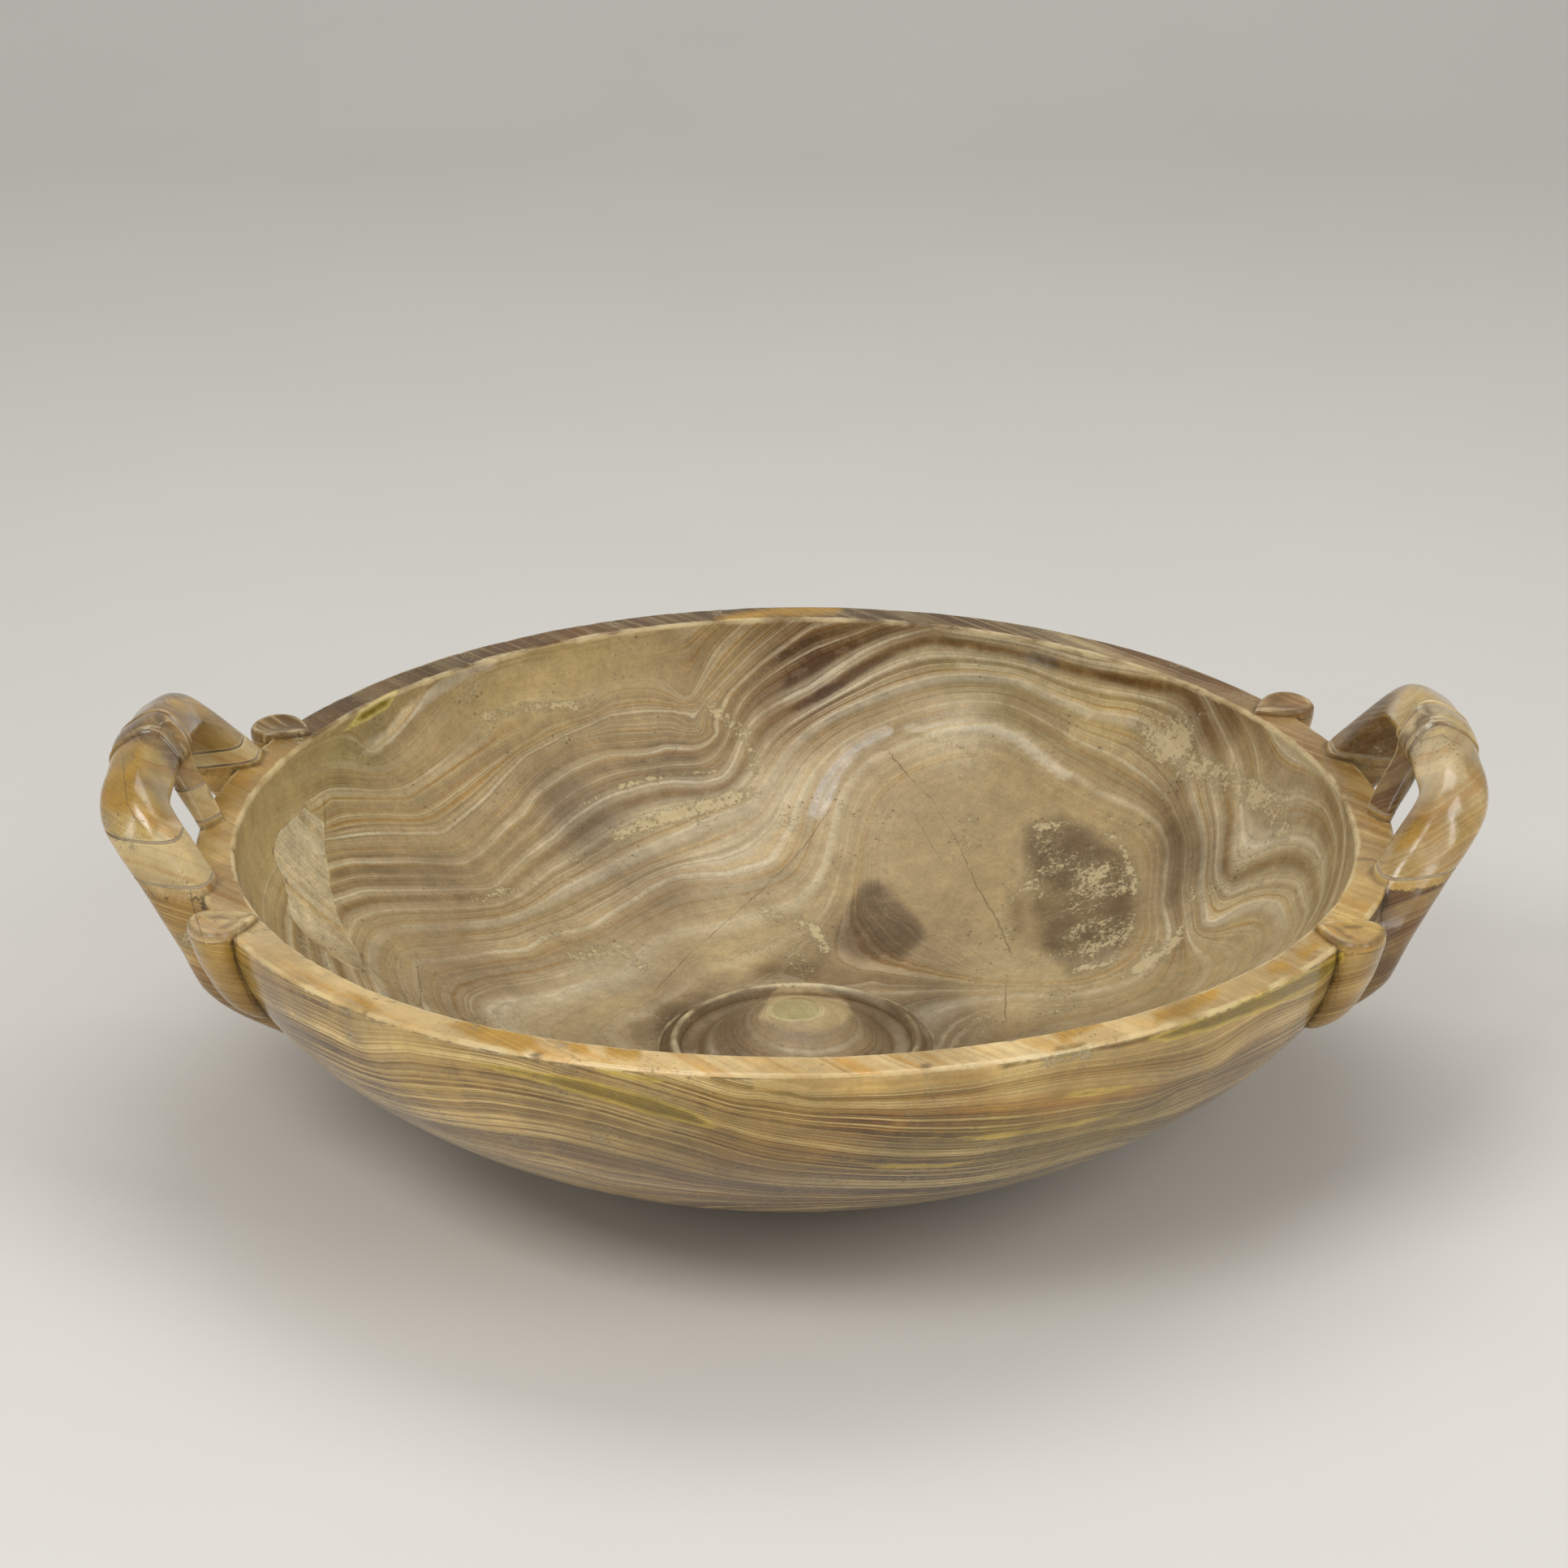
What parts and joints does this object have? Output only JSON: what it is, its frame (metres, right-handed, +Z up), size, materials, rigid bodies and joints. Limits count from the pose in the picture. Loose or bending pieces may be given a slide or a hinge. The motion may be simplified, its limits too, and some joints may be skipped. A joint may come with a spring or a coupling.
{
  "type": "labrum",
  "caption": "Wide shallow stone basin on a low foot, with a boss on its floor and two strap handles rising from the rim.",
  "frame": {"origin": "middle of the flat underside of the foot", "axes": "+Z up out of the bowl, the two handles at +X and -X, the front at -Y"},
  "size_m": [0.8218, 0.7198, 0.2561],
  "materials": {
    "alabaster": "polished banded stone",
    "insert_stone": "polished banded stone, browner",
    "splice_stone": "smooth pale restored stone",
    "plug_stone": "pale translucent stone",
    "mortar": "matte lime mortar",
    "steel": "plain stainless bar"
  },
  "bodies": {
    "root": {"basin": "alabaster", "wall_insert": "insert_stone", "centre_plug": "plug_stone", "left_handle_arch": "alabaster", "right_handle_arch": "alabaster", "left_front_splice": "splice_stone", "left_centre_splice": "splice_stone", "left_rear_splice": "splice_stone", "left_front_lower_bed": "mortar", "left_front_upper_bed": "mortar", "left_centre_lower_bed": "mortar", "left_centre_upper_bed": "mortar", "left_rear_lower_bed": "mortar", "left_rear_upper_bed": "mortar", "right_front_bed": "mortar", "right_centre_bed": "mortar", "right_rear_bed": "mortar", "left_front_pin": "steel", "left_centre_pin": "steel", "left_rear_pin": "steel", "right_front_pin": "steel", "right_centre_pin": "steel", "right_rear_pin": "steel"}
  },
  "joints": []
}
